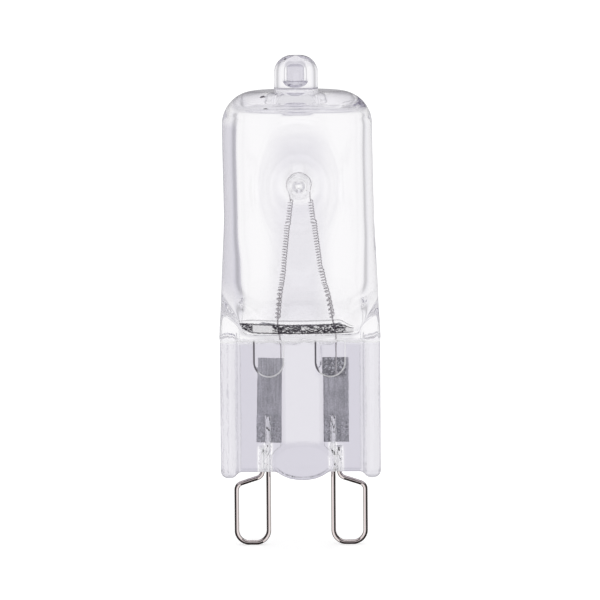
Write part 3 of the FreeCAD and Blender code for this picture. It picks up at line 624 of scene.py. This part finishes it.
# Materials
class Nodes:
    """Short way to write a node tree: add a node with its inputs set or linked."""

    def __init__(self, tree):
        self.tree = tree
        tree.nodes.clear()

    def add(self, kind, settings=None, **inputs):
        node = self.tree.nodes.new(kind)
        for name, value in (settings or {}).items():
            setattr(node, name, value)
        for name, value in inputs.items():
            socket = self.socket(node, name)
            if isinstance(value, bpy.types.NodeSocket):
                self.tree.links.new(value, socket)
            else:
                socket.default_value = value
        return node

    def socket(self, node, name):
        if name.startswith("in_"):
            return node.inputs[int(name[3:])]
        return node.inputs[name.replace("_", " ")]

    def math(self, operation, *values):
        inputs = {f"in_{index}": value for index, value in enumerate(values)}
        return self.add("ShaderNodeMath", {"operation": operation}, **inputs).outputs[0]

    def times(self, first, *others):
        for other in others:
            first = self.math("MULTIPLY", first, other)
        return first

    def largest(self, first, *others):
        for other in others:
            first = self.math("MAXIMUM", first, other)
        return first

    def step(self, value, low, high):
        """Smooth step from nought at low to one at high."""
        settings = {"interpolation_type": "SMOOTHSTEP"}
        node = self.add("ShaderNodeMapRange", settings, Value=value, From_Min=low, From_Max=high)
        return node.outputs[0]

    def blend(self, share, first, second):
        """Mix of two colours, which are the node's inputs 6 and 7."""
        node = self.add("ShaderNodeMix", {"data_type": "RGBA"}, in_0=share, in_6=first, in_7=second)
        return node.outputs[2]

    def mix(self, share, first, second):
        return self.add("ShaderNodeMixShader", in_0=share, in_1=first.outputs[0], in_2=second.outputs[0])

    def millimetres(self):
        """Place on the piece in millimetres, and its X, Y and Z."""
        metres = self.add("ShaderNodeTexCoord").outputs["Object"]
        scaled = self.add("ShaderNodeVectorMath", {"operation": "SCALE"}, in_0=metres, Scale=1 / MM)
        place = scaled.outputs[0]
        return (place, *self.add("ShaderNodeSeparateXYZ", Vector=place).outputs)

    def noise(self, place, grain, detail=4.0, swirl=0.0):
        """Noise with so many patches to a millimetre along each axis."""
        moved = self.add("ShaderNodeMapping", Vector=place, Scale=grain).outputs[0]
        settings = {"Scale": 1.0, "Detail": detail, "Distortion": swirl}
        return self.add("ShaderNodeTexNoise", Vector=moved, **settings).outputs[0]

    def bump(self, height, strength, rise):
        return self.add("ShaderNodeBump", Height=height, Strength=strength, Distance=rise * MM).outputs[0]

    def ramp(self, factor, stops):
        """Colour ramp from positions and grey levels, its greys tinted like the photograph's."""
        node = self.add("ShaderNodeValToRGB", Fac=factor)
        elements = node.color_ramp.elements
        while len(elements) < len(stops):
            elements.new(0.5)
        for element, (position, level) in zip(elements, stops):
            element.position = position
            element.color = (*[min(level * tint, 1.0) for tint in RAMP_TINT], 1)
        return node.outputs[0]

    def metal(self, colour, roughness, normal):
        settings = {"Base_Color": colour, "Roughness": roughness, "Metallic": 1.0, "Normal": normal}
        shader = self.add("ShaderNodeBsdfPrincipled", **settings)
        self.add("ShaderNodeOutputMaterial", Surface=shader.outputs[0])


def new_material(name):
    material = bpy.data.materials.new(name)
    material.use_nodes = True
    return material, Nodes(material.node_tree)


def seam_rise(nodes, x, z):
    """Height in the seam from nought to one, its lower left and upper right corners cut off."""
    left_cut = nodes.step(x, SEAM_LEFT + SEAM_CUT_REACH, SEAM_LEFT)
    right_cut = nodes.step(x, SEAM_RIGHT - SEAM_CUT_REACH, SEAM_RIGHT)
    low = nodes.math("MULTIPLY_ADD", left_cut, SEAM_CUT, SEAM_BOTTOM)
    high = nodes.math("MULTIPLY_ADD", right_cut, -SEAM_CUT, SEAM_BOTTOM + SEAM_HEIGHT)
    return nodes.math("DIVIDE", nodes.math("SUBTRACT", z, low), nodes.math("SUBTRACT", high, low))


def seam_crackle(nodes, noise, x):
    """Irregular flecks, with a clear window on the left and a clear right end."""
    offset = nodes.math("ABSOLUTE", nodes.math("SUBTRACT", x, SEAM_WINDOW))
    window = nodes.step(offset, *SEAM_WINDOW_SIDE)
    return nodes.times(nodes.step(noise, *SEAM_CRACKLE), window, nodes.step(x, *SEAM_FILL_END))


def seam_painted_shade(nodes):
    """Painted shade on the front of the cavity's closed end, where the walls nearly meet: thin dark
    outline, veil and flecks, and a dark line above.
    """
    place, x, y, z = nodes.millimetres()
    noise = nodes.noise(place, SEAM_GRAIN, swirl=SEAM_SWIRL)
    wander = nodes.math("MULTIPLY_ADD", noise, SEAM_WANDER, -SEAM_WANDER / 2 - 1.0)
    rise = seam_rise(nodes, x, z)
    height = nodes.math("ABSOLUTE", nodes.math("MULTIPLY_ADD", rise, 2.0, wander))
    line = nodes.times(nodes.step(height, *SEAM_LINE_INSIDE), nodes.step(height, *SEAM_LINE_OUTSIDE))
    above = nodes.times(nodes.step(rise, *SEAM_ABOVE_LOW), nodes.step(rise, *SEAM_ABOVE_HIGH))
    veil = nodes.step(height, *SEAM_VEIL_EDGE)
    dark = nodes.largest(
        nodes.times(line, SEAM_LINE),
        nodes.times(above, SEAM_ABOVE),
        nodes.times(veil, SEAM_VEIL),
        nodes.times(veil, seam_crackle(nodes, noise, x)),
    )
    left_end = nodes.step(x, SEAM_LEFT, SEAM_LEFT + SEAM_END_EDGE)
    right_end = nodes.step(x, SEAM_RIGHT, SEAM_RIGHT - SEAM_END_EDGE)
    deepest = nodes.math("MULTIPLY_ADD", rise, -SEAM_SLANT, -SEAM_DEPTH)
    inside = nodes.math("GREATER_THAN", y, deepest)
    return nodes.times(dark, left_end, right_end, inside, nodes.math("LESS_THAN", y, 0.0))


def speck_darkness(nodes):
    """Small black specks in the tip and the dome."""
    place = nodes.millimetres()[0]
    specks = []
    for *centre, radius in SPECKS:
        gap = nodes.add("ShaderNodeVectorMath", {"operation": "DISTANCE"}, in_0=place, in_1=centre)
        specks.append(nodes.step(gap.outputs["Value"], radius, SPECK_CORE * radius))
    return nodes.largest(*specks)


def bump_distance(nodes, x, z):
    """Distance from the outline of the nearer bump, below nought inside it."""
    side = nodes.math("ABSOLUTE", nodes.math("SUBTRACT", x, BUMP_SHIFT))
    across = nodes.math("SUBTRACT", side, BUMP_X)
    down = nodes.math("MINIMUM", nodes.math("SUBTRACT", z, BUMP_END_Z), 0.0)
    reach = nodes.math("SQRT", nodes.math("ADD", nodes.times(across, across), nodes.times(down, down)))
    return nodes.math("SUBTRACT", reach, BUMP_HALF_WIDTH)


def pinch_waves(nodes, place, x):
    """Slight waves in the pressed glass, stronger on the ribs, and chips on the left rib's outer edge."""
    ribbed = nodes.step(nodes.math("ABSOLUTE", x), PINCH_HALF_WIDTH - RIB_WIDTH, RIB_WAVE_X)
    rise = nodes.math("MULTIPLY_ADD", ribbed, RIB_WAVE_RISE, WAVE_RISE)
    chips = nodes.times(nodes.noise(place, CHIP_GRAIN), nodes.step(x, *CHIPPED_SIDE))
    return nodes.math("MULTIPLY_ADD", chips, CHIP_RISE, nodes.times(nodes.noise(place, WAVE_GRAIN), rise))


def ledge_bead(nodes, place, z):
    """Wavy bead of glass along the ledge above the pinch."""
    wander = nodes.math("MULTIPLY_ADD", nodes.noise(place, BEAD_GRAIN), BEAD_WANDER, -BEAD_WANDER / 2)
    level = nodes.math("SUBTRACT", nodes.math("SUBTRACT", z, PINCH_TOP + BEAD_LIFT), wander)
    return nodes.step(nodes.math("ABSOLUTE", level), BEAD_REACH, 0.0)


def pinch_marks(nodes):
    """Normal of the pressed glass, and painted highlights and a painted shadow on its front."""
    place, x, y, z = nodes.millimetres()
    pinched = nodes.step(z, PINCH_TOP + MARKS_EDGE, PINCH_TOP - MARKS_EDGE)
    distance = bump_distance(nodes, x, z)
    rim = nodes.step(distance, RIM_WIDTH, -RIM_WIDTH)
    bead = ledge_bead(nodes, place, z)
    height = nodes.times(nodes.math("ADD", rim, pinch_waves(nodes, place, x)), pinched)
    normal = nodes.bump(nodes.math("MULTIPLY_ADD", bead, BEAD_RISE, height), 1.0, RIM_RISE)
    front = nodes.math("LESS_THAN", y, 0.0)
    edge = nodes.times(nodes.step(nodes.math("ABSOLUTE", distance), *RIM_EDGE), pinched, front)
    # Painted highlights, white along the bumps' rims and the ledge's bead
    painted_highlight = nodes.largest(nodes.times(edge, RIM_HIGHLIGHT), nodes.times(bead, front, BEAD_HIGHLIGHT))
    # Painted shadow along the left side of each bump's rim
    leftward = nodes.math("MULTIPLY_ADD", nodes.math("SIGN", x), -BUMP_X, x)
    return normal, painted_highlight, nodes.times(edge, nodes.step(leftward, *RIM_SHADOW_SIDE))


def glass_material():
    """Clear quartz tinted by painted shade, darker in its inside reflection, with painted highlights,
    painted shade and black specks in places.
    """
    material, nodes = new_material("quartz_glass")
    normal, painted_highlight, rim_painted_shadow = pinch_marks(nodes)
    tone = nodes.add("ShaderNodeAttribute", {"attribute_name": "tone"}).outputs["Color"]
    settings = {"Base_Color": tone, "Roughness": 0.0, "IOR": GLASS_IOR, "Transmission_Weight": 1.0}
    shader = nodes.add("ShaderNodeBsdfPrincipled", Normal=normal, **settings)
    fresnel = nodes.add("ShaderNodeFresnel", IOR=GLASS_IOR, Normal=normal).outputs[0]
    total = nodes.math("GREATER_THAN", fresnel, TOTAL_REFLECTION)
    reflection_shade = nodes.add("ShaderNodeAttribute", {"attribute_name": "reflection_shade"}).outputs["Color"]
    mirror = nodes.add("ShaderNodeBsdfAnisotropic", Color=reflection_shade, Roughness=0.0, Normal=normal)
    # White for the painted highlights, black for the specks and the painted shade
    highlight_shader = nodes.add("ShaderNodeBsdfDiffuse", Color=HIGHLIGHT_COLOUR)
    specks_and_shade = nodes.add("ShaderNodeBsdfDiffuse", Color=SPECK_AND_SHADE_COLOUR)
    dark = nodes.largest(seam_painted_shade(nodes), speck_darkness(nodes), rim_painted_shadow)
    solid = nodes.mix(dark, nodes.mix(painted_highlight, nodes.mix(total, shader, mirror), highlight_shader), specks_and_shade)
    clear = nodes.add("ShaderNodeBsdfTransparent", Color=SHADOW_COLOUR)
    shadow = nodes.add("ShaderNodeLightPath").outputs["Is Shadow Ray"]
    nodes.add("ShaderNodeOutputMaterial", Surface=nodes.mix(shadow, solid, clear).outputs[0])
    return material


def tungsten_material():
    """Grey wire: tone, gloss and a fine bump follow its grain."""
    material, nodes = new_material("tungsten")
    grain = nodes.noise(nodes.millimetres()[0], TUNGSTEN_GRAIN, TUNGSTEN_DETAIL)
    smooth, rough = TUNGSTEN_ROUGHNESS
    roughness = nodes.add("ShaderNodeMapRange", Value=grain, To_Min=smooth, To_Max=rough).outputs[0]
    bump = nodes.bump(grain, TUNGSTEN_BUMP, TUNGSTEN_BUMP_RISE)
    nodes.metal(nodes.blend(grain, TUNGSTEN_DARK, TUNGSTEN_LIGHT), roughness, bump)
    return material


def foil_level(nodes):
    """How light the foil is: grain and clouds, specks round the weld, a crackled top on the right."""
    place, x, _, z = nodes.millimetres()
    level = nodes.math("MULTIPLY_ADD", nodes.noise(place, FOIL_GRAIN), FOIL_GRAIN_SHARE, FOIL_LEVEL)
    level = nodes.math("MULTIPLY_ADD", nodes.noise(place, FOIL_CLOUD), FOIL_CLOUD_SHARE, level)
    level = nodes.math("MULTIPLY_ADD", nodes.noise(place, FOIL_SPECK, 1.0), FOIL_SPECK_SHARE, level)
    crackle = nodes.noise(place, FOIL_CRACKLE, swirl=FOIL_SWIRL)
    contrast = nodes.times(nodes.math("SUBTRACT", crackle, CRACKLE_MIDDLE), CRACKLE_CONTRAST)
    right_foil = nodes.times(nodes.step(x, *FOIL_TOP_LEFT), nodes.step(x, *FOIL_TOP_RIGHT))
    top = nodes.times(nodes.step(z, *FOIL_TOP), right_foil, FOIL_TOP_CRACKLE)
    foot = nodes.times(nodes.step(z, *FOIL_FOOT), FOIL_FOOT_CRACKLE)
    share = nodes.largest(foot, top)
    return nodes.math("MULTIPLY_ADD", contrast, share, level)


def foil_material():
    material, nodes = new_material("molybdenum_foil")
    level = foil_level(nodes)
    bump = nodes.bump(level, FOIL_BUMP, FOIL_BUMP_RISE)
    nodes.metal(nodes.blend(level, FOIL_DARK, FOIL_LIGHT), FOIL_ROUGHNESS, bump)
    return material


def pin_material():
    """Bright drawn wire, crackled by the heat where it is sealed in the glass."""
    material, nodes = new_material("pin_wire")
    place, _, _, z = nodes.millimetres()
    crackle = nodes.noise(place, PIN_CRACKLE, swirl=PIN_SWIRL)
    bare = nodes.blend(nodes.noise(place, PIN_GRAIN), PIN_DARK, PIN_LIGHT)
    burnt = nodes.blend(nodes.step(crackle, *PIN_CRACKS), BURNT_DARK, BURNT_LIGHT)
    sealed = nodes.step(z, *PIN_SEALED)
    roughness = nodes.math("MULTIPLY_ADD", sealed, SEALED_ROUGHNESS - PIN_ROUGHNESS, PIN_ROUGHNESS)
    bump = nodes.bump(nodes.times(crackle, sealed), PIN_BUMP, PIN_BUMP_RISE)
    nodes.metal(nodes.blend(sealed, bare, burnt), roughness, bump)
    return material


# Camera and stage
def link(piece):
    bpy.context.scene.collection.objects.link(piece)
    return piece


def add_camera():
    data = bpy.data.cameras.new("photo_camera")
    data.sensor_width = SENSOR_WIDTH
    data.lens = SENSOR_WIDTH * VIEW_DISTANCE / VIEW_WIDTH
    data.clip_start = CLIP_START
    camera = link(bpy.data.objects.new("photo_camera", data))
    back = Vector((0, -math.cos(VIEW_ELEVATION), math.sin(VIEW_ELEVATION)))
    place = Matrix.Translation(VIEW_CENTRE + back * VIEW_DISTANCE)
    aim = back.to_track_quat("Z", "Y").to_matrix().to_4x4()
    camera.matrix_world = place @ aim @ Matrix.Rotation(VIEW_ROLL, 4, "Z")
    bpy.context.scene.camera = camera


def studio_through(nodes, x, y, z):
    """What glass shows: four white cards round the bulb, greyer gaps between, a dimmer room above."""
    across, along = nodes.times(x, x), nodes.times(y, y)
    level = nodes.largest(nodes.math("ADD", across, along), LEAST_LEVEL)
    double = nodes.math("DIVIDE", nodes.math("SUBTRACT", along, across), level)
    ring = nodes.ramp(nodes.times(double, double), GLASS_RING)
    return nodes.blend(nodes.step(z, *GLASS_ABOVE_EDGE), ring, nodes.ramp(z, GLASS_ABOVE))


def studio_mirrored(nodes, x, y, z):
    """What metal shows: grey behind, black sides, a low lamp in front, light high up, a dark table."""
    level = nodes.largest(nodes.math("ADD", nodes.times(x, x), nodes.times(y, y)), LEAST_LEVEL)
    facing = nodes.math("DIVIDE", y, nodes.math("SQRT", level))
    ring = nodes.ramp(nodes.math("MULTIPLY_ADD", facing, 0.5, 0.5), METAL_RING)
    room = nodes.blend(nodes.step(z, *LAMP_TOP), ring, DARK_ABOVE_LAMP)
    room = nodes.blend(nodes.step(z, *CEILING_EDGE), room, CEILING_LIGHT)
    return nodes.blend(nodes.step(z, *TABLE_EDGE), room, TABLE_DARK)


def add_world():
    world = bpy.data.worlds.new("studio")
    world.use_nodes = True
    bpy.context.scene.world = world
    nodes = Nodes(world.node_tree)
    direction = nodes.add("ShaderNodeTexCoord").outputs["Generated"]
    x, y, z = nodes.add("ShaderNodeSeparateXYZ", Vector=direction).outputs
    path = nodes.add("ShaderNodeLightPath").outputs
    colour = nodes.blend(path["Is Glossy Ray"], WHITE, studio_mirrored(nodes, x, y, z))
    colour = nodes.blend(path["Is Transmission Ray"], colour, studio_through(nodes, x, y, z))
    light = nodes.add("ShaderNodeBackground", Color=colour, Strength=1.0)
    nodes.add("ShaderNodeOutputWorld", Surface=light.outputs[0])


def floor_material():
    """Pale floor that keeps the shadow and looks white."""
    material, nodes = new_material("pale_floor")
    seen = nodes.add("ShaderNodeLightPath").outputs["Is Camera Ray"]
    matte = nodes.add("ShaderNodeBsdfDiffuse", Color=STAGE_COLOUR)
    glow = nodes.add("ShaderNodeEmission", Color=WHITE, Strength=nodes.times(seen, STAGE_GLOW))
    both = nodes.add("ShaderNodeAddShader", in_0=matte.outputs[0], in_1=glow.outputs[0])
    nodes.add("ShaderNodeOutputMaterial", Surface=both.outputs[0])
    return material


def add_floor():
    lowest = cad_box[0][2]
    turns = [2 * math.pi * index / STAGE_SIDES for index in range(STAGE_SIDES)]
    rim = [(STAGE_REACH * math.cos(turn), STAGE_REACH * math.sin(turn), lowest) for turn in turns]
    mesh = bpy.data.meshes.new("floor")
    mesh.from_pydata(rim, [], [list(range(STAGE_SIDES))])
    mesh.materials.append(floor_material())
    floor = link(bpy.data.objects.new("floor", mesh))
    floor.visible_transmission = False
    floor.visible_glossy = False


def card_material():
    material, nodes = new_material("white_card")
    glow = nodes.add("ShaderNodeEmission", Color=WHITE, Strength=CARD_GLOW)
    nodes.add("ShaderNodeOutputMaterial", Surface=glow.outputs[0])
    return material


def add_card():
    """White card between the two loops, seen only in metal: each loop mirrors it on its inner side."""
    corners = [(CARD_FAR, CARD_LOW), (CARD_NEAR, CARD_LOW), (CARD_NEAR, CARD_HIGH), (CARD_FAR, CARD_HIGH)]
    mesh = bpy.data.meshes.new("card")
    mesh.from_pydata([(0, y * MM, z * MM) for y, z in corners], [], [[0, 1, 2, 3]])
    mesh.materials.append(card_material())
    card = link(bpy.data.objects.new("card", mesh))
    card.visible_camera = False
    card.visible_diffuse = False
    card.visible_transmission = False
    card.visible_shadow = False


def dress(piece, material, slot, *nodes):
    """Give a new piece its material, and let it stand for CAD nodes."""
    piece.data.materials.append(material)
    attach(piece, "root")
    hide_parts(*nodes)


add_camera()
add_world()
add_floor()
add_card()

tungsten = tungsten_material()
metals = {"foil": foil_material(), "pin": pin_material()}
for name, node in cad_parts.items():
    node.data.materials.clear()
    node.data.materials.append(metals.get(name.split("_")[0], tungsten))

glass = link(bpy.data.objects.new("glass_envelope_clear", glass_mesh()))
dress(glass, glass_material(), "quartz_glass", "glass_envelope")

filament = link(bpy.data.objects.new("filament_coils", filament_mesh()))
dress(filament, tungsten, "tungsten", "filament")

scene = bpy.context.scene
scene.view_settings.view_transform = "Standard"
scene.cycles.max_bounces = BOUNCES
scene.cycles.transmission_bounces = BOUNCES
scene.cycles.glossy_bounces = BOUNCES
